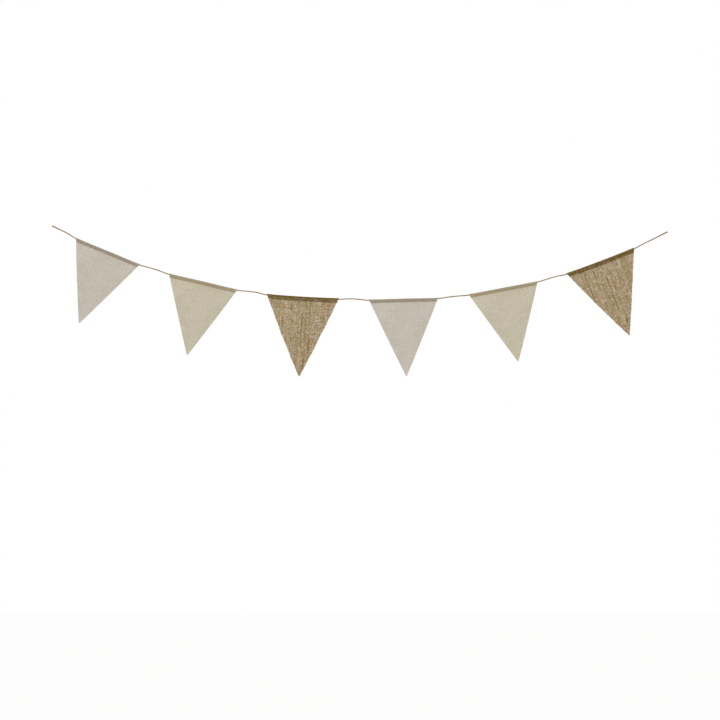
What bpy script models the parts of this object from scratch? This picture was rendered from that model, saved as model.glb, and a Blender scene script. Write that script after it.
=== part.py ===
"""Fabric bunting: six triangular pennants hung on one thin jute cord.

Every pennant is one piece of cloth. Its top is folded over the cord to the back and sewn down to
the panel, so a casing runs along its top with the cord inside.

Metres, +Z up. The origin is the left end of the cord, +X runs along the string to the right end,
and the pennants face -Y.
"""

from math import acos, atan2, cos, hypot, pi, sin, tau

import bmesh
import bpy
from mathutils import Matrix, Vector

# The cord.
CORD_DIAMETER = 0.0027
CLEARANCE = 0.0003  # between the cord and the cloth around it

# The cord's route as it hangs, left end first: X and Z in metres.
CORD_ROUTE = (
    (0.0000, 0.0000),
    (0.0190, -0.0090),
    (0.0380, -0.0185),
    (0.0535, -0.0285),
    (0.1275, -0.0595),
    (0.2015, -0.0900),
    (0.2240, -0.0960),
    (0.2460, -0.1030),
    (0.2680, -0.1110),
    (0.3470, -0.1295),
    (0.4265, -0.1480),
    (0.4480, -0.1500),
    (0.4710, -0.1530),
    (0.4935, -0.1585),
    (0.5765, -0.1650),
    (0.6595, -0.1685),
    (0.6820, -0.1675),
    (0.7050, -0.1685),
    (0.7280, -0.1710),
    (0.8080, -0.1690),
    (0.8880, -0.1670),
    (0.9110, -0.1635),
    (0.9340, -0.1610),
    (0.9575, -0.1590),
    (1.0375, -0.1440),
    (1.1175, -0.1285),
    (1.1390, -0.1220),
    (1.1610, -0.1155),
    (1.1830, -0.1110),
    (1.2610, -0.0830),
    (1.3390, -0.0520),
    (1.3540, -0.0440),
    (1.3740, -0.0340),
    (1.3950, -0.0235),
    (1.4150, -0.0135),
)

# The three cloths: sheet thickness and the height of the casing, in metres.
CLOTHS = {
    "grey_linen": {"thickness": 0.0010, "casing": 0.0091},
    "cream_linen": {"thickness": 0.0010, "casing": 0.0094},
    "burlap": {"thickness": 0.0012, "casing": 0.0110},
}

# The pennants, left to right, in millimetres. "middle" is how far along the cord the middle of
# the casing is. "tip_shift" moves the tip along the top edge. "left_bow" and "right_bow" are how
# far the side edges bulge outwards. "curl" brings the side edges forward of the middle, "swing"
# the tip forward of the cord, and "ripple" is the height of the soft waves across the panel.
PENNANT_COLUMNS = (
    "name", "cloth", "middle", "width", "drop", "tip_shift", "left_bow", "right_bow",
    "curl", "swing", "ripple",
)
PENNANT_ROWS = (
    ("pennant_1", "grey_linen", 141.0, 160.0, 179.2, 2.4, 0.4, 0.5, 1.6, 1.2, 0.7),
    ("pennant_2", "cream_linen", 372.0, 162.5, 173.8, 2.4, 0.4, 0.6, -1.8, 2.0, 0.6),
    ("pennant_3", "burlap", 604.8, 166.5, 183.4, 2.3, 1.7, 1.0, 1.2, -1.0, 0.9),
    ("pennant_4", "grey_linen", 836.6, 160.0, 179.2, 2.4, 0.4, 0.5, -1.2, 1.6, 0.8),
    ("pennant_5", "cream_linen", 1068.0, 162.5, 173.4, 2.4, 0.4, 0.6, 2.0, -1.4, 0.6),
    ("pennant_6", "burlap", 1301.0, 166.5, 183.4, 2.0, 1.7, 0.9, -1.6, 0.8, 0.9),
)
MILLIMETRE = 0.001

# How finely the cloth and the cord are divided.
COLUMNS = 8
PANEL_ROWS = 14
FOLD_STEPS = 10
FREE_STEPS = 4  # along each stretch of cord that no casing covers

TIP_WIDTH = 0.0018  # the tip is cut a little blunt
STITCH_INSET = 0.0015  # from the casing's lower edge up to its stitching
RIPPLES = 1.6  # waves across a pennant's width
SHARP_ANGLE = 0.7  # radians; edges that turn more than this are shaded sharp

# Colour and roughness of each material.
MATERIALS = {
    "grey_linen": ((0.546, 0.497, 0.423), 0.92),
    "cream_linen": ((0.546, 0.497, 0.381), 0.92),
    "burlap": ((0.371, 0.283, 0.171), 0.95),
    "jute": ((0.310, 0.240, 0.090), 0.90),
}


def smooth_route(points, steps=16):
    """Points on a smooth curve through the given ones: a Catmull-Rom curve by chord length."""
    given = [Vector((x, 0.0, z)) for x, z in points]
    ends = [given[0] * 2 - given[1], *given, given[-1] * 2 - given[-2]]
    curve = [given[0]]
    for p0, p1, p2, p3 in zip(ends, ends[1:], ends[2:], ends[3:]):
        before, here, after = ((b - a).length for a, b in ((p0, p1), (p1, p2), (p2, p3)))
        start = (p2 - p0) / (before + here) * here
        end = (p3 - p1) / (here + after) * here
        for step in range(1, steps + 1):
            t = step / steps
            curve.append(
                p1 * (2 * t**3 - 3 * t**2 + 1)
                + start * (t**3 - 2 * t**2 + t)
                + p2 * (3 * t**2 - 2 * t**3)
                + end * (t**3 - t**2)
            )
    return curve


def distances(curve):
    """How far along the curve each of its points is."""
    found = [0.0]
    for a, b in zip(curve, curve[1:]):
        found.append(found[-1] + (b - a).length)
    return found


class Route:
    """The cord's centre line, read by the distance along it from its left end."""

    def __init__(self, points):
        self.curve = smooth_route(points)
        self.along = distances(self.curve)
        self.length = self.along[-1]

    def at(self, distance):
        i = 0
        while i < len(self.along) - 2 and self.along[i + 1] < distance:
            i += 1
        share = (distance - self.along[i]) / (self.along[i + 1] - self.along[i])
        return self.curve[i].lerp(self.curve[i + 1], share)


def make_material(name):
    colour, roughness = MATERIALS[name]
    material = bpy.data.materials.new(name)
    material.use_nodes = True
    shader = material.node_tree.nodes["Principled BSDF"]
    shader.inputs["Base Color"].default_value = (*colour, 1.0)
    shader.inputs["Roughness"].default_value = roughness
    shader.inputs["Metallic"].default_value = 0.0
    material.diffuse_color = (*colour, 1.0)
    return material


def spaced(start, end, steps):
    """Even steps from start to end, without start itself."""
    return [start + (end - start) * i / steps for i in range(1, steps + 1)]


def make_cord(route, pennants, material, collection):
    """The cord, a tube with cut ends. Inside a casing it bends only where the casing does."""
    stations = [0.0]
    for pennant in pennants:
        stations += spaced(stations[-1], pennant.station(0), FREE_STEPS)
        stations += spaced(pennant.station(0), pennant.station(1), COLUMNS)
    stations += spaced(stations[-1], route.length, FREE_STEPS)
    data = bpy.data.curves.new("cord", "CURVE")
    data.dimensions = "3D"
    data.bevel_depth = CORD_DIAMETER / 2
    data.bevel_resolution = 2
    data.use_fill_caps = True
    data.render_resolution_u = 0
    spline = data.splines.new("POLY")
    spline.points.add(len(stations) - 1)
    for point, station in zip(spline.points, stations):
        point.co = (*route.at(station), 1.0)
    spline.use_smooth = True
    data.materials.append(material)
    cord = bpy.data.objects.new("cord", data)
    collection.objects.link(cord)
    return cord


class Pennant:
    """One pennant: its cut, its casing and the way it hangs on the cord."""

    def __init__(self, row, route):
        values = dict(zip(PENNANT_COLUMNS, row))
        self.name = values.pop("name")
        self.cloth = values.pop("cloth")
        for column, millimetres in values.items():
            setattr(self, column, millimetres * MILLIMETRE)
        self.route = route
        self.thickness = CLOTHS[self.cloth]["thickness"]
        self.tunnel_radius = CORD_DIAMETER / 2 + CLEARANCE
        self.fold_radius = self.tunnel_radius + self.thickness
        # Heights from the cord's middle.
        self.casing_end = self.fold_radius - CLOTHS[self.cloth]["casing"]
        self.stitching = self.casing_end + STITCH_INSET
        self.bottom = self.fold_radius - self.drop
        left, right = (route.at(self.station(share)) for share in (0, 1))
        tilt = atan2(left.z - right.z, right.x - left.x)
        self.matrix = Matrix.Translation((left + right) / 2) @ Matrix.Rotation(tilt, 4, "Y")

    def station(self, share):
        """How far along the cord this share of the way across the casing is."""
        return self.middle + (share - 0.5) * self.width

    def section(self):
        """The cloth cut across its casing, as (y, z) with z from the cord's middle. The outer
        loop runs from the bottom of the front up over the fold and down the back. The inner loop
        is the tunnel, whose last point is where the two layers meet."""
        t = self.thickness
        fall = (self.bottom - self.casing_end) / PANEL_ROWS
        rows = [self.bottom - fall * i for i in range(PANEL_ROWS + 1)]
        # The front layer leaves the panel at the stitching and meets the fold's round at "start".
        foot = tau + atan2(self.stitching, -t)
        start = foot - acos(self.fold_radius / hypot(t, self.stitching))
        turn = (2 * start - pi) / FOLD_STEPS
        around = [start - turn * i for i in range(FOLD_STEPS + 1)]
        fold = [(self.fold_radius * cos(a), self.fold_radius * sin(a)) for a in around]
        tunnel = [(self.tunnel_radius * cos(a), self.tunnel_radius * sin(a)) for a in around]
        outer = [(-t, row) for row in rows]
        outer += [(-t, self.stitching), *fold, (t, self.stitching), (t, self.casing_end)]
        outer += [(0.0, row) for row in reversed(rows)]
        return outer, [*tunnel, (0.0, self.tunnel_radius / sin(start))]

    def place(self, share, y, z):
        """A point of the section, moved to its share of the way across the pennant, from 0 at
        the left edge to 1 at the right."""
        down = (self.fold_radius - z) / self.drop
        half = self.width / 2 * (1 - down) + TIP_WIDTH / 2 * down
        bulge = 4 * down * (1 - down)
        left = self.tip_shift * down - half - self.left_bow * bulge
        right = self.tip_shift * down + half + self.right_bow * bulge
        free = max(0.0, (self.casing_end - z) / (self.casing_end - self.bottom))
        belly = 4 * free * (1 - free)
        forward = self.curl * (2 * share - 1) ** 2 * belly
        forward += self.swing * free**2
        forward += self.ripple * sin(tau * RIPPLES * share + self.middle / self.width) * belly
        cord = self.matrix.inverted() @ self.route.at(self.station(share))
        return Vector((left + (right - left) * share, y - forward, cord.z + z))

    def cap(self, outer, inner):
        """The faces that close the cloth at a side edge."""
        front = outer[: PANEL_ROWS + 1]
        back = outer[: -PANEL_ROWS - 2 : -1]
        for (a, b), (c, d) in zip(zip(front, front[1:]), zip(back, back[1:])):
            yield a, b, d, c
        ring = outer[PANEL_ROWS + 1 : -PANEL_ROWS - 2]
        meeting = inner[-1]
        yield front[-1], ring[0], meeting, back[-1]
        yield back[-1], meeting, ring[-1], outer[-PANEL_ROWS - 2]
        within = [meeting, *inner]
        for (a, b), (c, d) in zip(zip(ring, ring[1:]), zip(within, within[1:])):
            yield a, b, d, c

    def mesh(self):
        """The section lofted from the left edge to the right one."""
        bm = bmesh.new()
        stations = []
        for column in range(COLUMNS + 1):
            loops = [
                [bm.verts.new(self.place(column / COLUMNS, y, z)) for y, z in loop]
                for loop in self.section()
            ]
            stations.append(loops)
        for here, there in zip(stations, stations[1:]):
            for a, b in zip(here, there):
                for i in range(len(a)):
                    bm.faces.new((a[i - 1], a[i], b[i], b[i - 1]))
        for outer, inner in (stations[0], stations[-1]):
            for corners in self.cap(outer, inner):
                bm.faces.new(corners)
        bmesh.ops.recalc_face_normals(bm, faces=bm.faces)
        data = bpy.data.meshes.new(self.name)
        bm.to_mesh(data)
        bm.free()
        return data

    def make(self, material, cord, collection):
        data = self.mesh()
        data.materials.append(material)
        data.shade_smooth()
        data.set_sharp_from_angle(angle=SHARP_ANGLE)
        pennant = bpy.data.objects.new(self.name, data)
        pennant.parent = cord
        pennant.matrix_world = self.matrix
        collection.objects.link(pennant)


def main():
    for thing in list(bpy.data.objects):
        bpy.data.objects.remove(thing)
    collection = bpy.data.collections.new("fabric_bunting")
    bpy.context.scene.collection.children.link(collection)
    materials = {name: make_material(name) for name in MATERIALS}
    route = Route(CORD_ROUTE)
    pennants = [Pennant(row, route) for row in PENNANT_ROWS]
    cord = make_cord(route, pennants, materials["jute"], collection)
    for pennant in pennants:
        pennant.make(materials[pennant.cloth], cord, collection)


main()
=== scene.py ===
"""The looks of the fabric bunting: a twisted jute cord, four linen pennants and two of woven burlap.

Metres, +Z up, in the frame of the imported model: the origin is the left end of the cord, +X runs
along the string and the pennants face -Y.
"""

from math import acos, atan2, hypot, pi, radians, tau

import bpy
import numpy as np
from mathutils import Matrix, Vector


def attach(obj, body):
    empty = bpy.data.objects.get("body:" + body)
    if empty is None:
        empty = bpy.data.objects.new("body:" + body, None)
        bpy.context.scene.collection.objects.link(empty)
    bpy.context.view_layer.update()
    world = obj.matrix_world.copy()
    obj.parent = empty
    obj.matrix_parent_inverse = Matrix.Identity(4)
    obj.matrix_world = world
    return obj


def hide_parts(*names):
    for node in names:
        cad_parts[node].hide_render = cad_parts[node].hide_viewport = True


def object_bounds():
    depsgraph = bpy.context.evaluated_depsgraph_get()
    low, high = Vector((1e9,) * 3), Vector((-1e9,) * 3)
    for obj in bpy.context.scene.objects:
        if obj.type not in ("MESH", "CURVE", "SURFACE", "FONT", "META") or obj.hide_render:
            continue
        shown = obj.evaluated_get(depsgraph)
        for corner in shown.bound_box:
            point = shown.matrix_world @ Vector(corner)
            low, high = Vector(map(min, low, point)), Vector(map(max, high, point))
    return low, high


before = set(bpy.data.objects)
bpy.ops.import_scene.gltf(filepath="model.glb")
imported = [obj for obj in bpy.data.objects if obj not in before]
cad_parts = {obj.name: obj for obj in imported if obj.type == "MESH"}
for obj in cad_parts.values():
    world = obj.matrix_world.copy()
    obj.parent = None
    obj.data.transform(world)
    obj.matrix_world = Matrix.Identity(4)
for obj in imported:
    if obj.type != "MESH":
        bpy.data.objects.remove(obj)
cad_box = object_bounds()

MM = 0.001

# The cord, and its route as part.py has it: X and Z in metres.
CORD_DIAMETER = 2.7 * MM
CLEARANCE = 0.3 * MM
CORD_ROUTE = (
    (0.0000, 0.0000),
    (0.0190, -0.0090),
    (0.0380, -0.0185),
    (0.0535, -0.0285),
    (0.1275, -0.0595),
    (0.2015, -0.0900),
    (0.2240, -0.0960),
    (0.2460, -0.1030),
    (0.2680, -0.1110),
    (0.3470, -0.1295),
    (0.4265, -0.1480),
    (0.4480, -0.1500),
    (0.4710, -0.1530),
    (0.4935, -0.1585),
    (0.5765, -0.1650),
    (0.6595, -0.1685),
    (0.6820, -0.1675),
    (0.7050, -0.1685),
    (0.7280, -0.1710),
    (0.8080, -0.1690),
    (0.8880, -0.1670),
    (0.9110, -0.1635),
    (0.9340, -0.1610),
    (0.9575, -0.1590),
    (1.0375, -0.1440),
    (1.1175, -0.1285),
    (1.1390, -0.1220),
    (1.1610, -0.1155),
    (1.1830, -0.1110),
    (1.2610, -0.0830),
    (1.3390, -0.0520),
    (1.3540, -0.0440),
    (1.3740, -0.0340),
    (1.3950, -0.0235),
    (1.4150, -0.0135),
)

# The twine grows thicker towards its two ends: by what share, and over what length.
LEFT_END_THICKER = 0.18
RIGHT_END_THICKER = 0.30
END_STRETCH = 60.0 * MM

# The pennants' cuts and hang, in millimetres, as part.py has them.
PENNANT_COLUMNS = (
    "name", "cloth", "middle", "width", "drop", "tip_shift", "left_bow", "right_bow",
    "curl", "swing", "ripple",
)
PENNANT_ROWS = (
    ("pennant_1", "grey_linen", 141.0, 160.0, 179.2, 2.4, 0.4, 0.5, 1.6, 1.2, 0.7),
    ("pennant_2", "cream_linen", 372.0, 162.5, 173.8, 2.4, 0.4, 0.6, -1.8, 2.0, 0.6),
    ("pennant_3", "burlap", 604.8, 166.5, 183.4, 2.3, 1.7, 1.0, 1.2, -1.0, 0.9),
    ("pennant_4", "grey_linen", 836.6, 160.0, 179.2, 2.4, 0.4, 0.5, -1.2, 1.6, 0.8),
    ("pennant_5", "cream_linen", 1068.0, 162.5, 173.4, 2.4, 0.4, 0.6, 2.0, -1.4, 0.6),
    ("pennant_6", "burlap", 1301.0, 166.5, 183.4, 2.0, 1.7, 0.9, -1.6, 0.8, 0.9),
)
TIP_WIDTH = 1.8 * MM
STITCH_INSET = 1.5 * MM
RIPPLES = 1.6

# The cloths. "thickness" is the solid's and "sheet" the real cloth's; "stitch" is a stitch's
# length. "reflected" is the colour that comes back, "passed" the colour that comes through,
# "share" how much comes through, "doubled_shade" a painted shade, a darker tint where the cloth
# lies on itself, and "lit_fold" how much of that painted shade is missing on the lit fold.
CLOTHS = {
    "grey_linen": {
        "thickness": 1.0 * MM, "casing": 9.1 * MM, "sheet": 0.40 * MM, "stitch": 2.6 * MM,
        "reflected": (0.482, 0.433, 0.365), "passed": (0.55, 0.51, 0.44), "share": 0.35,
        "doubled_shade": (0.86, 0.81, 0.74), "lit_fold": 1.0, "thread": (0.42, 0.37, 0.29),
    },
    "cream_linen": {
        "thickness": 1.0 * MM, "casing": 9.4 * MM, "sheet": 0.40 * MM, "stitch": 2.6 * MM,
        "reflected": (0.482, 0.432, 0.323), "passed": (0.55, 0.51, 0.40), "share": 0.35,
        "doubled_shade": (0.94, 0.86, 0.72), "lit_fold": 1.0, "thread": (0.42, 0.36, 0.25),
    },
    "burlap": {
        "thickness": 1.2 * MM, "casing": 11.0 * MM, "sheet": 1.1 * MM, "stitch": 3.4 * MM,
        "reflected": (0.455, 0.342, 0.182), "passed": (0.83, 0.735, 0.54), "share": 0.45,
        "doubled_shade": (0.65, 0.53, 0.27), "lit_fold": 0.0, "thread": (0.24, 0.17, 0.08),
    },
}

# Burlap: yarns on an even pitch, flattened, with slubs where a yarn runs thick for a while.
YARN_PITCH = 2.2 * MM
YARN_WIDTH = 1.70 * MM
YARN_HEIGHT = 0.54 * MM
YARN_SIDES = 6
# "across" is a share of the width from the middle, "top" and "bottom" shares of the drop, and
# "gain" how strong the slub is.
SLUB_COLUMNS = ("across", "top", "bottom", "gain")
SLUB_ROWS = (
    (-0.140, 0.08, 0.20, 1.00),
    (-0.260, 0.24, 0.41, 0.80),
    (-0.005, 0.20, 0.65, 1.00),
    (0.170, 0.18, 0.32, 0.80),
    (-0.130, 0.50, 0.59, 0.80),
    (0.120, 0.52, 0.69, 0.85),
    (0.060, 0.78, 0.86, 0.70),
)
SLUB_THICKER = 0.30
SLUB_DARKER = 0.45
SLUB_END = 0.025  # a share of the drop
# How much the yarns differ from each other in thickness and tone, and along their own length.
WARP_SPREAD = 0.085
WEFT_SPREAD = 0.045
THICKNESS_NOISE = 0.04
TONE_NOISE = 0.19
# How unevenly the yarns are spaced.
WARP_SPACING = 0.13
WEFT_SPACING = 0.08
BURLAP_FIBRES = 1400
FIBRE_RISE = 0.932

# Linen: its yarns' pitch, and how far each part of the weave swings its tone; the weave's part
# is a painted shade, darker in the grooves between the yarns.
LINEN_YARN = 0.85 * MM
LINEN_RUNS = 0.25
LINEN_FLECKS = 0.62
LINEN_CLOUDS = 0.13
LINEN_WEAVE_SHADE = 0.09

# Where the painted shade of doubled cloth ends: its fade over a lit fold, the hem's waver on
# the front, and how far the burlap's hem rises to the left.
LIT_FOLD_REACH = 6.0 * MM
HEM_WAVER = 0.5 * MM
BURLAP_HEM_RISE = 2.4 * MM


class Route:
    """The cord's centre line: a Catmull-Rom curve by chord length, read by the distance along it."""

    def __init__(self, points, steps=16):
        given = [np.array(p) for p in points]
        ends = [given[0] * 2 - given[1], *given, given[-1] * 2 - given[-2]]
        curve = [given[0]]
        for p0, p1, p2, p3 in zip(ends, ends[1:], ends[2:], ends[3:]):
            before, here, after = (np.hypot(*(b - a)) for a, b in ((p0, p1), (p1, p2), (p2, p3)))
            start = (p2 - p0) / (before + here) * here
            end = (p3 - p1) / (here + after) * here
            for step in range(1, steps + 1):
                t = step / steps
                curve.append(
                    p1 * (2 * t**3 - 3 * t**2 + 1)
                    + start * (t**3 - 2 * t**2 + t)
                    + p2 * (3 * t**2 - 2 * t**3)
                    + end * (t**3 - t**2)
                )
        self.curve = np.array(curve)
        self.along = np.concatenate([[0.0], np.cumsum(np.hypot(*np.diff(self.curve, axis=0).T))])
        self.length = float(self.along[-1])

    def at(self, distance):
        """Points on the centre line, as rows of X, Y and Z."""
        x = np.interp(distance, self.along, self.curve[:, 0])
        z = np.interp(distance, self.along, self.curve[:, 1])
        return np.stack([x, np.zeros_like(x), z], axis=-1)


ROUTE = Route(CORD_ROUTE)


def drift(rng, wavelength, parts=4):
    """A smooth random function of a length, about -1 to 1."""
    waves = wavelength * rng.uniform(0.6, 1.8, parts)
    phases = rng.uniform(0, tau, parts)
    return lambda x: sum(np.sin(tau * x / w + p) for w, p in zip(waves, phases)) / parts**0.5 / 1.2


# ---- Camera -------------------------------------------------------------------------------

VIEW_WIDTH = 1.656
VIEW_MIDDLE = (0.7079, -0.3082)
LENS, SENSOR = 100.0, 36.0


def make_camera():
    data = bpy.data.cameras.new("camera")
    data.lens, data.sensor_width = LENS, SENSOR
    data.clip_start, data.clip_end = 0.05, 100.0
    camera = bpy.data.objects.new("camera", data)
    camera.location = (VIEW_MIDDLE[0], -VIEW_WIDTH * LENS / SENSOR, VIEW_MIDDLE[1])
    camera.rotation_euler = (radians(90), 0, 0)
    bpy.context.scene.collection.objects.link(camera)
    bpy.context.scene.camera = camera


make_camera()


# ---- Node trees ---------------------------------------------------------------------------


class Tree:
    """A material's node tree, with short ways to add and join nodes."""

    def __init__(self, name):
        self.material = bpy.data.materials.new(name)
        self.material.use_nodes = True
        self.tree = self.material.node_tree
        self.tree.nodes.clear()

    def node(self, kind, inputs=(), **settings):
        made = self.tree.nodes.new(kind)
        for setting, value in settings.items():
            setattr(made, setting, value)
        for socket, value in dict(inputs).items():
            if isinstance(value, bpy.types.NodeSocket):
                self.tree.links.new(value, made.inputs[socket])
            else:
                made.inputs[socket].default_value = value
        return made

    def maths(self, operation, *values, clamp=False):
        inputs = dict(enumerate(values))
        return self.node("ShaderNodeMath", inputs, operation=operation, use_clamp=clamp).outputs[0]

    def noise(self, vector, scale, detail=2.0, roughness=0.5):
        inputs = {"Vector": vector, "Scale": scale, "Detail": detail, "Roughness": roughness}
        return self.node("ShaderNodeTexNoise", inputs).outputs["Fac"]

    def stretched(self, vector, x, y, z=1.0):
        inputs = {0: vector, 1: (x, y, z)}
        return self.node("ShaderNodeVectorMath", inputs, operation="MULTIPLY").outputs[0]

    def around_one(self, value, swing):
        """A 0 to 1 value as 1 - swing to 1 + swing."""
        return self.maths("MULTIPLY_ADD", value, 2 * swing, 1 - swing)

    def tinted(self, colour, factor, doubled_shade=None, paling=(1.0, 1.0, 1.0)):
        """The colour, paler or deeper by a factor, and where the cloth lies on itself, tinted darker
        as a painted shade.
        Pale fibres are greyer than deep ones. "paling" is how far each channel moves."""
        span = [sum(colour) / 3 * part for part in paling]
        inputs = {0: factor, 1: span, 2: [part - move for part, move in zip(colour, span)]}
        shade = self.node("ShaderNodeVectorMath", inputs, operation="MULTIPLY_ADD").outputs[0]
        inputs = {0: shade, 1: (0.01, 0.01, 0.01)}
        shade = self.node("ShaderNodeVectorMath", inputs, operation="MAXIMUM").outputs[0]
        if doubled_shade is None:
            return shade
        # Painted shade: the attribute below darkens the colour where the cloth lies on itself.
        here = self.node("ShaderNodeAttribute", attribute_name="doubled_shade").outputs["Fac"]
        inputs = {0: here, 1: [part - 1 for part in doubled_shade], 2: (1.0, 1.0, 1.0)}
        tint = self.node("ShaderNodeVectorMath", inputs, operation="MULTIPLY_ADD").outputs[0]
        inputs = {0: shade, 1: tint}
        return self.node("ShaderNodeVectorMath", inputs, operation="MULTIPLY").outputs[0]

    def cloth(self, reflected, passed, share, normal, roughness=0.9):
        """A cloth surface: light comes back off it and a share of it comes through."""
        front = self.node(
            "ShaderNodeBsdfPrincipled",
            {
                "Base Color": reflected,
                "Roughness": roughness,
                "Specular IOR Level": 0.2,
                "Normal": normal,
            },
        )
        through = self.node("ShaderNodeBsdfTranslucent", {"Color": passed, "Normal": normal})
        mixed = self.node(
            "ShaderNodeMixShader", {0: share, 1: front.outputs[0], 2: through.outputs[0]}
        )
        self.node("ShaderNodeOutputMaterial", {"Surface": mixed.outputs[0]})
        return self.material


def linen_material(name):
    """Plain-woven linen: fine even yarns, some thick and thin, in both directions."""
    t = Tree(name)
    cloth = CLOTHS[name]
    place = t.node("ShaderNodeUVMap", uv_map="Cloth").outputs[0]
    split = t.node("ShaderNodeSeparateXYZ", {0: place})
    wobble = t.noise(place, 90.0, 1.0)
    # Two families of round yarns that pass over and under each other.
    sway = t.maths("MULTIPLY_ADD", wobble, 1.2, -0.6)
    warp = t.maths("SINE", t.maths("MULTIPLY_ADD", split.outputs[0], pi / LINEN_YARN, sway))
    weft = t.maths("SINE", t.maths("MULTIPLY_ADD", split.outputs[1], pi / LINEN_YARN, sway))
    over = t.maths("MULTIPLY_ADD", t.maths("MULTIPLY", warp, weft), 2.5, 0.5, clamp=True)
    rounds = (t.maths("ABSOLUTE", warp), t.maths("ABSOLUTE", weft))
    first = t.maths("MULTIPLY", over, rounds[0])
    second = t.maths("MULTIPLY", t.maths("SUBTRACT", 1.0, over), rounds[1])
    weave = t.maths("ADD", first, second)
    # Thick and thin stretches of single yarns.
    warp_runs = t.noise(t.stretched(place, 620.0, 18.0), 1.0, 2.0)
    weft_runs = t.noise(t.stretched(place, 18.0, 620.0), 1.0, 2.0)
    runs = t.maths("ADD", warp_runs, weft_runs)
    warp_flecks = t.noise(t.stretched(place, 1000.0, 190.0), 1.0, 3.0, 0.6)
    weft_flecks = t.noise(t.stretched(place, 190.0, 1000.0), 1.0, 3.0, 0.6)
    flecks = t.maths("MULTIPLY", t.maths("ADD", warp_flecks, weft_flecks), 0.5)
    cloudy = t.noise(place, 22.0, 3.0, 0.55)
    streaks = t.around_one(t.maths("MULTIPLY", runs, 0.5), LINEN_RUNS)
    tone = t.maths("MULTIPLY", streaks, t.around_one(flecks, LINEN_FLECKS))
    tone = t.maths("MULTIPLY", tone, t.around_one(cloudy, LINEN_CLOUDS))
    # Painted shade: darker in the grooves between the yarns, lighter on their crowns.
    tone = t.maths("MULTIPLY", tone, t.around_one(weave, LINEN_WEAVE_SHADE))
    deep = t.maths("POWER", tone, 1.6)
    height = t.maths("MULTIPLY_ADD", runs, 0.5, weave)
    bump = t.node("ShaderNodeBump", {"Strength": 0.5, "Distance": 0.12 * MM, "Height": height})
    return t.cloth(
        t.tinted(cloth["reflected"], tone, cloth["doubled_shade"]),
        t.tinted(cloth["passed"], deep, cloth["doubled_shade"]), cloth["share"], bump.outputs[0],
    )


JUTE_PALING = (0.86, 1.0, 1.22)  # red least: jute's deep fibres are the reddest


def yarn_material(name, reflected, passed, share, doubled_shade=None):
    """Jute yarn: twisted fibres along each yarn, whose own tone the mesh carries."""
    t = Tree(name)
    place = t.node("ShaderNodeUVMap", uv_map="Yarn").outputs[0]
    own = t.node("ShaderNodeAttribute", attribute_name="tone").outputs["Fac"]
    split = t.node("ShaderNodeSeparateXYZ", {0: place})
    turn = t.maths("MULTIPLY_ADD", split.outputs[1], 260.0, split.outputs[0])
    twisted = t.node("ShaderNodeCombineXYZ", {0: turn, 1: split.outputs[1]}).outputs[0]
    fibres = t.noise(t.stretched(twisted, 9.0, 60.0), 1.0, 3.0, 0.6)
    flecks = t.noise(t.stretched(place, 3.0, 700.0), 1.0, 2.0, 0.6)
    tone = t.maths("MULTIPLY", t.around_one(fibres, 0.30), t.around_one(flecks, 0.22))
    tone = t.maths("MULTIPLY", tone, own)
    deep = t.maths("POWER", tone, 1.5)
    bump = t.node("ShaderNodeBump", {"Strength": 0.6, "Distance": 0.12 * MM, "Height": fibres})
    return t.cloth(
        t.tinted(reflected, tone, doubled_shade, JUTE_PALING),
        t.tinted(passed, deep, doubled_shade, JUTE_PALING), share, bump.outputs[0],
    )


def thread_material(name, colour):
    """Sewing thread: two plies, matte, with painted shade in the grooves between the plies."""
    t = Tree(name)
    place = t.node("ShaderNodeUVMap", uv_map="Yarn").outputs[0]
    split = t.node("ShaderNodeSeparateXYZ", {0: place})
    round_it = t.maths("MULTIPLY", split.outputs[0], tau)
    turn = t.maths("MULTIPLY_ADD", split.outputs[1], 9000.0, round_it)
    plies = t.maths("ABSOLUTE", t.maths("SINE", turn))
    bump = t.node("ShaderNodeBump", {"Strength": 0.5, "Distance": 0.05 * MM, "Height": plies})
    # Painted shade: darker in the grooves between the two plies.
    tone = t.around_one(plies, 0.12)
    return t.cloth(
        t.tinted(colour, tone), t.tinted(colour, tone), 0.1, bump.outputs[0], roughness=0.7
    )


# ---- Meshes -------------------------------------------------------------------------------


def add_values(data, name, values):
    data.attributes.new(name, "FLOAT", "POINT").data.foreach_set("value", np.ravel(values))


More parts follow.
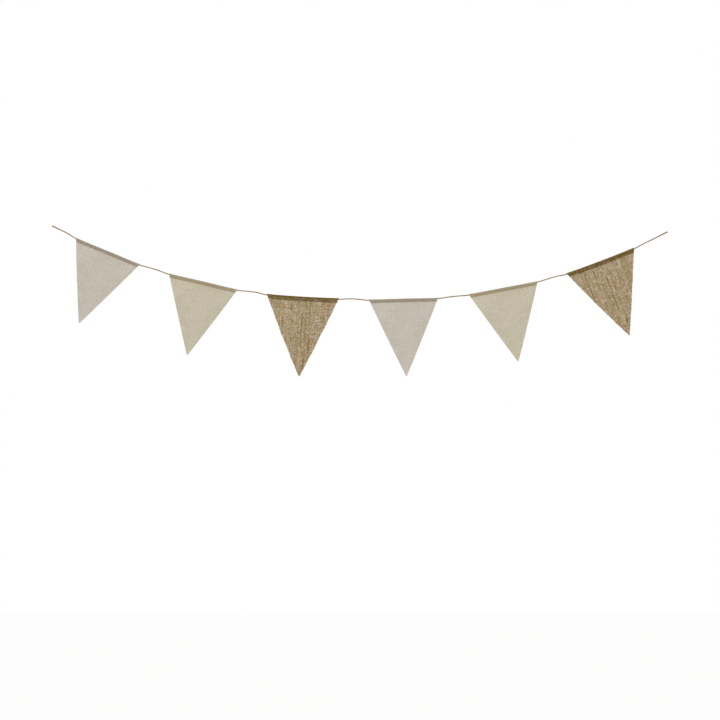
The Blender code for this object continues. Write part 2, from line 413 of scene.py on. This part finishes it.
class Tubes:
    """Many closed tubes in one mesh: yarns, threads, hairs. Each is given as rings of points."""

    def __init__(self, sides):
        self.sides = sides
        self.points, self.quads, self.caps, self.quad_uvs = [], [], [], []
        self.tones, self.doubled_shade = [], []
        self.count = 0

    def add(self, rings, along, tone, doubled_shade=0.0):
        n, k = len(rings), self.sides
        here = self.count + np.arange(n * k).reshape(n, k)
        there = np.roll(here, -1, axis=1)
        quads = np.stack([here[:-1], there[:-1], there[1:], here[1:]], axis=-1)
        u = np.broadcast_to(np.arange(k) / k, (n - 1, k))
        low = np.broadcast_to(along[:-1, None], (n - 1, k))
        high = np.broadcast_to(along[1:, None], (n - 1, k))
        corners = ((u, low), (u + 1 / k, low), (u + 1 / k, high), (u, high))
        uvs = np.stack([np.stack(c, axis=-1) for c in corners], axis=-2)
        self.points.append(rings.reshape(-1, 3))
        self.quads.append(quads.reshape(-1, 4))
        self.quad_uvs.append(uvs.reshape(-1, 2))
        self.caps += [here[0, ::-1], here[-1]]
        self.tones.append(np.repeat(np.broadcast_to(tone, n), k))
        self.doubled_shade.append(np.repeat(np.broadcast_to(doubled_shade, n), k))
        self.count += n * k

    def build(self, name, material):
        points, quads = np.concatenate(self.points), np.concatenate(self.quads)
        caps = np.array(self.caps)
        a, b, c, d = (points[quads[:, i]] for i in range(4))
        if (a * np.cross(b, c)).sum() + (a * np.cross(c, d)).sum() < 0:
            quads, caps = quads[:, ::-1], caps[:, ::-1]
            flipped = np.concatenate(self.quad_uvs).reshape(-1, 4, 2)[:, ::-1]
            self.quad_uvs = [flipped.reshape(-1, 2)]
        data = bpy.data.meshes.new(name)
        data.from_pydata(points, [], quads.tolist() + caps.tolist())
        data.materials.append(material)
        uvs = np.concatenate([*self.quad_uvs, np.zeros((caps.size, 2))])
        data.uv_layers.new(name="Yarn").data.foreach_set("uv", uvs.ravel())
        add_values(data, "tone", np.concatenate(self.tones))
        add_values(data, "doubled_shade", np.concatenate(self.doubled_shade))
        data.shade_smooth()
        piece = bpy.data.objects.new(name, data)
        bpy.context.scene.collection.objects.link(piece)
        return piece


def ring_angles(sides):
    return np.arange(sides) / sides * tau


def thin_tube(path, radii, sides):
    """Rings round a short path of points, with a steady side direction."""
    path = np.asarray(path, float)
    way = np.gradient(path, axis=0)
    way /= np.linalg.norm(way, axis=1)[:, None]
    side = np.cross(way, (0.31, 0.87, 0.38))
    side /= np.linalg.norm(side, axis=1)[:, None]
    lift = np.cross(side, way)
    angle = ring_angles(sides)
    ring = np.cos(angle)[None, :, None] * side[:, None] + np.sin(angle)[None, :, None] * lift[:, None]
    return path[:, None] + ring * np.broadcast_to(radii, len(path))[:, None, None]


# ---- The cord -----------------------------------------------------------------------------

PLIES = 3
PLY_RADIUS = 0.63 * MM
PLY_OFFSET = 0.72 * MM
TWIST = 8.5 * MM  # length of one turn
CORD_STEP = 0.8 * MM
CORD_SIDES = 8
CORD_HAIRS = 900
HAIR_RADIUS = 0.035 * MM


def make_cord():
    """Jute twine of twisted plies, uneven and a little hairy, with cut ends."""
    rng = np.random.default_rng(11)
    along = np.linspace(0, ROUTE.length, round(ROUTE.length / CORD_STEP) + 1)
    centre = ROUTE.at(along)
    way = np.gradient(centre, axis=0)
    way /= np.linalg.norm(way, axis=1)[:, None]
    up = np.stack([-way[:, 2], way[:, 1], way[:, 0]], axis=-1)
    back = np.array((0.0, 1.0, 0.0))
    thick, slow = drift(rng, 0.05), drift(rng, 0.3)
    stretches = (0.0, END_STRETCH, ROUTE.length - END_STRETCH, ROUTE.length)
    ends = np.interp(along, stretches, (1 + LEFT_END_THICKER, 1.0, 1.0, 1 + RIGHT_END_THICKER))
    size = ends * (1 + 0.06 * thick(along) + 0.02 * slow(along))
    from_end = np.minimum(along, ROUTE.length - along)
    splay = 1 + 0.5 * np.clip(1 - from_end / (5 * MM), 0, 1) ** 2
    angle = ring_angles(CORD_SIDES)
    tubes = Tubes(CORD_SIDES)
    turn = along / TWIST * tau + 0.8 * drift(rng, 0.06)(along)
    for ply in range(PLIES):
        phase = turn + ply / PLIES * tau
        own = drift(rng, 0.03)
        radius = PLY_RADIUS * size * (1 + 0.08 * own(along))
        offset = (PLY_OFFSET * size * splay)[:, None]
        middle = centre + offset * (np.cos(phase)[:, None] * up + np.sin(phase)[:, None] * back)
        ring = (
            np.cos(angle)[None, :, None] * up[:, None] + np.sin(angle)[None, :, None] * back
        )
        rings = middle[:, None] + radius[:, None, None] * ring
        tubes.add(rings, along, 1 + 0.12 * own(along * 1.7) + 0.06 * thick(along))
    cord = tubes.build("jute_cord", MATERIALS["jute"])
    hairs = Tubes(3)
    for _ in range(CORD_HAIRS):
        at = rng.uniform(0, ROUTE.length)
        start = ROUTE.at(np.array([at]))[0]
        outward = rng.normal(size=3)
        outward[0] *= 0.4
        outward /= np.linalg.norm(outward)
        lean = np.array((rng.choice((-1, 1)) * rng.uniform(0.5, 2.0), 0, 0))
        reach = rng.uniform(0.5, 1.7) * MM
        steps = np.linspace(0, 1, 4)[:, None]
        path = start + outward * (1.0 * MM + reach * steps) + lean * reach * steps**2
        hairs.add(thin_tube(path, HAIR_RADIUS * np.array((1, 0.9, 0.7, 0.3)), 3),
                  steps[:, 0] * reach, rng.uniform(0.8, 1.3))
    fuzz = hairs.build("jute_cord_fibres", MATERIALS["jute"])
    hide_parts("cord")
    for piece in (cord, fuzz):
        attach(piece, "root")


# ---- The pennants -------------------------------------------------------------------------


class Pennant:
    """One pennant's cut and hang. "across" is a distance from its middle line, "along" a distance
    down the cloth from the top of its fold, negative over the back, and "out" a distance from the
    middle of the cloth's thickness, positive on its outer face."""

    def __init__(self, row):
        values = dict(zip(PENNANT_COLUMNS, row))
        self.name = values.pop("name")
        self.cloth = values.pop("cloth")
        for column, millimetres in values.items():
            setattr(self, column, millimetres * MM)
        cloth = CLOTHS[self.cloth]
        self.sheet, self.stitch, self.lit_fold = cloth["sheet"], cloth["stitch"], cloth["lit_fold"]
        self.tunnel = CORD_DIAMETER / 2 + CLEARANCE
        self.fold_top = self.tunnel + cloth["thickness"]
        self.casing_end = self.fold_top - cloth["casing"]
        self.stitching = self.casing_end + STITCH_INSET
        self.bottom = self.fold_top - self.drop
        left, right = ROUTE.at(np.array([self.middle - self.width / 2, self.middle + self.width / 2]))
        self.origin = (left + right) / 2
        self.right = (right - left) / np.linalg.norm(right - left)
        self.up = np.array((-self.right[2], 0.0, self.right[0]))
        nearby = ROUTE.at(np.linspace(self.middle - self.width, self.middle + self.width, 161))
        self.cord_x = (nearby - self.origin) @ self.right
        self.cord_z = (nearby - self.origin) @ self.up
        self.panel_y = -cloth["thickness"] / 2
        self.make_profile(self.tunnel + cloth["thickness"] / 2)
        self.rng = np.random.default_rng(round(self.middle / MM))
        self.hem_drift = drift(self.rng, 0.04)
        self.hem_rise = BURLAP_HEM_RISE if self.cloth == "burlap" else 0.0
        self.wrinkles = [
            (drift(self.rng, 0.05), drift(self.rng, 0.07), self.rng.uniform(-1, 1))
            for _ in range(3)
        ]

    def make_profile(self, radius):
        """The cloth's middle seen from the side, from the back flap's end over the fold and down
        to the tip, as heights and depths by the distance along."""
        hem_y = self.panel_y + self.sheet + 0.06 * MM
        front = tau + atan2(self.stitching, self.panel_y)
        front -= acos(radius / hypot(self.panel_y, self.stitching))
        back = atan2(self.stitching, hem_y) + acos(radius / hypot(hem_y, self.stitching))
        turn = np.linspace(back, front, 25)
        y = [hem_y + 0.35 * MM, hem_y, *(radius * np.cos(turn)), self.panel_y, self.panel_y]
        z = [self.casing_end, self.stitching, *(radius * np.sin(turn)), self.stitching, self.bottom]
        points = np.array([y, z]).T
        distance = np.concatenate([[0.0], np.cumsum(np.hypot(*np.diff(points, axis=0).T))])
        arc = distance[2:-2]
        top = np.interp(pi / 2, turn, arc)
        self.profile = (distance - top, points[:, 0], points[:, 1])
        self.hem_along, self.tip_along = float(-top), float(distance[-1] - top)
        self.front_stitch, self.back_stitch = float(distance[-2] - top), float(distance[1] - top)

    def section(self, along):
        s, y, z = self.profile
        step = 0.15 * MM
        dy = np.interp(along + step, s, y) - np.interp(along - step, s, y)
        dz = np.interp(along + step, s, z) - np.interp(along - step, s, z)
        size = np.maximum(np.hypot(dy, dz), 1e-9)
        return np.interp(along, s, y), np.interp(along, s, z), dz / size, -dy / size

    def doubled_shade_amount(self, across, along):
        """How much of the painted shade of doubled cloth there is: less on a lit fold, none below the
        hem.
        """
        lit = self.lit_fold * np.clip(1 - np.abs(along) / LIT_FOLD_REACH, 0, 1)
        hem = self.front_stitch + STITCH_INSET + HEM_WAVER * self.hem_drift(across)
        rise = self.hem_rise * np.clip(-across / self.width - 0.1, 0, 1)
        return (along <= hem - rise) * (1 - lit)

    def edges(self, z):
        """The left and right side edges at this height."""
        down = np.clip((self.fold_top - z) / self.drop, 0, 1)
        half = self.width / 2 * (1 - down) + TIP_WIDTH / 2 * down
        bulge = 4 * down * (1 - down)
        shift = self.tip_shift * down
        return shift - half - self.left_bow * bulge, shift + half + self.right_bow * bulge

    def place(self, across, along, out):
        """Points of the hanging cloth in the row frame."""
        y, z, normal_y, normal_z = self.section(along)
        left, right = self.edges(z)
        share = (across - left) / (right - left)
        free = np.clip((self.casing_end - z) / (self.casing_end - self.bottom), 0, 1)
        belly = 4 * free * (1 - free)
        forward = self.curl * (2 * share - 1) ** 2 * belly + self.swing * free**2
        wave = np.sin(tau * RIPPLES * share + self.middle / self.width)
        forward = forward + self.ripple * wave * belly
        for by_across, by_along, lean in self.wrinkles:
            small = by_across(across + lean * along) * by_along(along - lean * across)
            forward = forward + 0.22 * MM * small * np.minimum(1, 3 * belly)
        height = z + out * normal_z + np.interp(across, self.cord_x, self.cord_z)
        depth = y + out * normal_y - forward
        return (
            self.origin
            + across[..., None] * self.right
            + height[..., None] * self.up
            + depth[..., None] * np.array((0.0, 1.0, 0.0))
        )

    def declare(self, cloth_piece, others):
        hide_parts(self.name)
        for piece in (cloth_piece, *others):
            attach(piece, "root")

    def stitches(self):
        """The row of machine stitches that closes the casing, on both faces."""
        tubes = Tubes(5)
        z = self.stitching
        left, right = (float(edge) for edge in self.edges(np.array(z)))
        count = int((right - left - 4 * MM) / self.stitch)
        for i in range(count):
            start = left + 2 * MM + i * self.stitch + self.rng.uniform(-0.1, 0.1) * MM
            slant = self.rng.normal(0, 0.08) * MM
            for along in (self.front_stitch, self.back_stitch):
                steps = np.linspace(0, 1, 6)
                across = start + self.stitch * (0.08 + 0.84 * steps)
                dip = np.sin(pi * steps)
                out = self.sheet / 2 + (0.16 * dip - 0.12) * MM
                middle = self.place(across, along + slant * (2 * steps - 1), out)
                radius = 0.17 * MM * (0.55 + 0.45 * dip)
                tubes.add(thin_tube(middle, radius, 5), steps * self.stitch, 1.0)
        return tubes.build(f"{self.name}_stitching", MATERIALS[f"{self.cloth}_thread"])


LINEN_COLUMNS = 72
LINEN_PANEL_ROWS = 84
LINEN_CASING_ROWS = 34


def make_linen(pennant):
    """A linen pennant: one folded sheet, its cut edges and its stitching."""
    p = pennant
    casing = np.linspace(p.hem_along, p.front_stitch, LINEN_CASING_ROWS, endpoint=False)
    panel = np.linspace(p.front_stitch, p.tip_along, LINEN_PANEL_ROWS)
    along = np.concatenate([casing, panel])
    left, right = p.edges(p.section(along)[1])
    share = np.linspace(0, 1, LINEN_COLUMNS + 1)
    across = left[:, None] + (right - left)[:, None] * share
    ragged = p.rng.normal(0, 0.10 * MM, (2, len(along)))
    across[:, 0] += ragged[0]
    across[:, -1] += ragged[1]
    rows = np.broadcast_to(along[:, None], across.shape)
    points = p.place(across, rows, np.zeros_like(across))
    index = np.arange(points[..., 0].size).reshape(across.shape)
    quads = np.stack([index[:-1, :-1], index[:-1, 1:], index[1:, 1:], index[1:, :-1]], axis=-1)
    quads = quads.reshape(-1, 4)
    data = bpy.data.meshes.new(f"linen_{p.name}")
    data.from_pydata(points.reshape(-1, 3), [], quads.tolist())
    data.materials.append(MATERIALS[p.cloth])
    uvs = np.stack([across, rows], axis=-1).reshape(-1, 2)[quads.ravel()]
    data.uv_layers.new(name="Cloth").data.foreach_set("uv", uvs.ravel())
    # Painted shade: where the cloth lies on itself, its colour is darkened.
    add_values(data, "doubled_shade", p.doubled_shade_amount(across, rows))
    data.shade_smooth()
    piece = bpy.data.objects.new(f"linen_{p.name}", data)
    bpy.context.scene.collection.objects.link(piece)
    p.declare(piece, [p.stitches(), linen_ends(p)])


def linen_ends(p):
    """The cut yarns' short ends along the side edges."""
    tubes = Tubes(3)
    steps = np.linspace(0, 1, 3)
    for along in np.arange(p.front_stitch, p.tip_along - 1 * MM, LINEN_YARN):
        for edge, way in zip(p.edges(p.section(along)[1]), (-1, 1)):
            reach = p.rng.uniform(0.1, 0.75) * MM
            across = edge + way * (reach * steps - 0.2 * MM)
            droop = along + p.rng.normal(0, 0.25) * MM * steps**2
            path = p.place(across, droop, p.rng.normal(0, 0.12) * MM * steps)
            tubes.add(
                thin_tube(path, 0.15 * MM * (1 - 0.5 * steps), 3), steps * reach,
                p.rng.uniform(0.9, 1.1),
            )
    return tubes.build(f"{p.name}_edge_yarns", MATERIALS[f"{p.cloth}_yarn"])


def uneven(rng, numbers, spread):
    """Where these yarns lie: near their even places, but with wide and narrow gaps."""
    places = YARN_PITCH * np.cumsum(rng.uniform(1 - spread, 1 + spread, len(numbers)))
    first, last = numbers[0] * YARN_PITCH, numbers[-1] * YARN_PITCH
    spare = last - first - places[-1] + places[0]
    return places - places[0] + first + np.linspace(0, spare, len(places))


def within(value, low, high, edge):
    """1 between low and high, falling to 0 over an edge inside them."""
    return np.clip((value - low) / edge, 0, 1) * np.clip((high - value) / edge, 0, 1)


class Weave:
    """The yarns of a burlap pennant: the warp runs down the cloth and the weft across it."""

    def __init__(self, pennant):
        self.pennant = pennant
        self.rng = rng = np.random.default_rng(3)
        self.lift = (pennant.sheet - YARN_HEIGHT) / 2
        self.wander = drift(rng, 0.045), drift(rng, 0.06)
        self.columns, self.rows = (
            np.arange(round(low / YARN_PITCH), round(high / YARN_PITCH) + 1)
            for low, high in (
                (-pennant.width / 2, pennant.width / 2), (pennant.hem_along, pennant.tip_along)
            )
        )
        self.warps = uneven(rng, self.columns, WARP_SPACING)
        self.wefts = uneven(rng, self.rows, WEFT_SPACING)
        self.slubs = [dict(zip(SLUB_COLUMNS, row)) for row in SLUB_ROWS]
        self.down = np.linspace(pennant.hem_along, pennant.tip_along, 900)
        self.down_edges = pennant.edges(pennant.section(self.down)[1])

    def sway(self, across, along):
        """The weave's own slow waviness, none in the casing."""
        free = 0.35 * MM * np.clip((along - self.pennant.front_stitch) / (20 * MM), 0, 1)
        return across + self.wander[0](along) * free, along + self.wander[1](across) * free

    def stops(self, low, high, crossed):
        """Where a yarn's rings go: over, under and between the yarns it crosses."""
        inner = np.sort(np.concatenate([crossed, (crossed[:-1] + crossed[1:]) / 2]))
        inner = inner[(inner > low + 0.3 * MM) & (inner < high - 0.3 * MM)]
        return np.concatenate([[low], inner, [high]])

    def size_and_tone(self, stops, spread):
        """How thick a yarn is beside the others, and how light."""
        rng = self.rng
        fine, slow = drift(rng, 0.022), drift(rng, 0.07)
        size = 1 + rng.normal(0, 0.5 * spread) + 0.13 * fine(stops) + 0.5 * spread * slow(stops)
        tone = 1 + rng.normal(0, spread) + 0.05 * slow(stops * 1.3) - 0.35 * (size - 1)
        size = size + rng.normal(0, THICKNESS_NOISE, len(stops))
        return size, tone + rng.normal(0, TONE_NOISE, len(stops))

    def yarn(self, tubes, stops, at, number, crossed, numbers, side, size, tone):
        angle = ring_angles(YARN_SIDES)
        lift = side * self.lift * np.cos(pi * (np.interp(stops, crossed, numbers) + number))
        out = lift[:, None] + (YARN_HEIGHT / 2 * np.sqrt(size))[:, None] * np.sin(angle)
        aside = at + (YARN_WIDTH / 2 * size)[:, None] * np.cos(angle)
        ahead = np.broadcast_to(stops[:, None], aside.shape)
        across, along = self.sway(*((ahead, aside) if side > 0 else (aside, ahead)))
        # Painted shade on the yarns where the cloth lies on itself.
        doubled_shade = self.pennant.doubled_shade_amount(across.mean(axis=1), along.mean(axis=1))
        tubes.add(self.pennant.place(across, along, out), stops - stops[0], tone, doubled_shade)

    def warp(self, name):
        tubes = Tubes(YARN_SIDES)
        left, right = self.down_edges
        for at, number in zip(self.warps, self.columns):
            inside = self.down[(left <= at) & (at <= right)]
            if len(inside) < 20:
                continue
            low = inside[0] + self.rng.uniform(-0.4, 0.4) * MM
            high = inside[-1] + self.rng.uniform(-0.5, 0.5) * MM
            stops = self.stops(low, high, self.wefts)
            size, tone = self.size_and_tone(stops, WARP_SPREAD)
            for slub in self.slubs:
                if abs(at - slub["across"] * self.pennant.width) < YARN_PITCH / 2:
                    here = slub["gain"] * within(
                        stops / self.pennant.drop, slub["top"], slub["bottom"], SLUB_END
                    )
                    size, tone = size + SLUB_THICKER * here, tone * (1 - SLUB_DARKER * here)
            self.yarn(tubes, stops, at, number, self.wefts, self.rows, -1, size, tone)
        return tubes.build(name, MATERIALS["burlap"])

    def weft(self, name):
        tubes = Tubes(YARN_SIDES)
        for at, number in zip(self.wefts, self.rows):
            low, high = (float(edge) for edge in self.pennant.edges(self.pennant.section(at)[1]))
            low += self.rng.uniform(-0.5, 0.4) * MM
            high += self.rng.uniform(-0.4, 0.5) * MM
            if high - low < 1.5 * MM:
                continue
            stops = self.stops(low, high, self.warps)
            size, tone = self.size_and_tone(stops, WEFT_SPREAD)
            self.yarn(tubes, stops, at, number, self.warps, self.columns, 1, size, tone)
        return tubes.build(name, MATERIALS["burlap"])

    def fibres(self, name):
        """Loose fibres that stand off the yarns."""
        rng, p = self.rng, self.pennant
        tubes = Tubes(3)
        steps = np.linspace(0, 1, 5)
        for _ in range(BURLAP_FIBRES):
            along = rng.uniform(p.hem_along, p.tip_along)
            left, right = p.edges(p.section(along)[1])
            across = rng.uniform(left, right)
            length, heading = rng.uniform(2, 7) * MM, rng.uniform(0, tau)
            bend = heading + rng.uniform(-1.6, 1.6) * steps
            lift = rng.choice((-1, 1)) * (0.3 + rng.uniform(0.2, 0.7) * FIBRE_RISE * steps) * MM
            path = p.place(
                across + length * steps * np.cos(bend), along + length * steps * np.sin(bend), lift
            )
            # Fibres on the doubled cloth take its painted shade too.
            tubes.add(thin_tube(path, 0.045 * MM * (1 - 0.6 * steps), 3), steps * length,
                      rng.uniform(0.8, 1.35), p.doubled_shade_amount(across, along))
        return tubes.build(name, MATERIALS["burlap"])


def make_burlap(pennant):
    """A burlap pennant: its woven yarns, their loose fibres and the casing's stitching."""
    weave = Weave(pennant)
    warp = weave.warp(f"burlap_{pennant.name}")
    weft = weave.weft(f"burlap_{pennant.name}_weft")
    fibres = weave.fibres(f"burlap_{pennant.name}_fibres")
    pennant.declare(warp, [weft, fibres, pennant.stitches()])


# ---- Light and surroundings ---------------------------------------------------------------


def make_surroundings():
    """A white world, a soft key light and a plain pale floor well below the bunting."""
    scene = bpy.context.scene
    scene.view_settings.view_transform = "Standard"
    world = bpy.data.worlds.new("studio")
    world.use_nodes = True
    world.node_tree.nodes["Background"].inputs[0].default_value = (1.0, 1.0, 1.0, 1.0)
    world.node_tree.nodes["Background"].inputs[1].default_value = 1.0
    scene.world = world
    key = bpy.data.lights.new("key", "SUN")
    key.energy, key.angle = 0.36, radians(12)
    lamp = bpy.data.objects.new("key", key)
    lamp.location = (-0.6, -2.0, 1.2)
    lamp.rotation_euler = Vector((0.6, 2.0, -1.2)).to_track_quat("-Z", "Y").to_euler()
    scene.collection.objects.link(lamp)
    t = Tree("floor_paint")
    place = t.node("ShaderNodeTexCoord").outputs["Object"]
    tone = t.around_one(t.noise(place, 3.0, 3.0), 0.01)
    paint = t.tinted((0.93, 0.93, 0.925), tone)
    shader = t.node("ShaderNodeBsdfPrincipled", {"Base Color": paint, "Roughness": 0.7})
    t.node("ShaderNodeOutputMaterial", {"Surface": shader.outputs[0]})
    low, high = cad_box
    size = 8.0
    x, z = (low.x + high.x) / 2, low.z - 1.55
    corners = [(x - size, -size, z), (x + size, -size, z), (x + size, size, z), (x - size, size, z)]
    data = bpy.data.meshes.new("floor")
    data.from_pydata(corners, [], [(0, 1, 2, 3)])
    data.materials.append(t.material)
    floor = bpy.data.objects.new("floor", data)
    scene.collection.objects.link(floor)


MATERIALS = {name: linen_material(name) for name in ("grey_linen", "cream_linen")}
burlap = CLOTHS["burlap"]
# The burlap's doubled cloth gets a strong painted shade in its colour.
MATERIALS["burlap"] = yarn_material(
    "burlap", burlap["reflected"], burlap["passed"], burlap["share"], burlap["doubled_shade"]
)
MATERIALS["jute"] = yarn_material("jute", (0.33, 0.237, 0.075), (0.35, 0.26, 0.09), 0.15)
for name in CLOTHS:
    MATERIALS[f"{name}_thread"] = thread_material(f"{name}_thread", CLOTHS[name]["thread"])
for name in ("grey_linen", "cream_linen"):
    pale = [1.1 * part for part in CLOTHS[name]["reflected"]]
    MATERIALS[f"{name}_yarn"] = yarn_material(f"{name}_yarn", pale, pale, 0.1)

make_cord()
for row in PENNANT_ROWS:
    pennant = Pennant(row)
    if pennant.cloth == "burlap":
        make_burlap(pennant)
    else:
        make_linen(pennant)
make_surroundings()
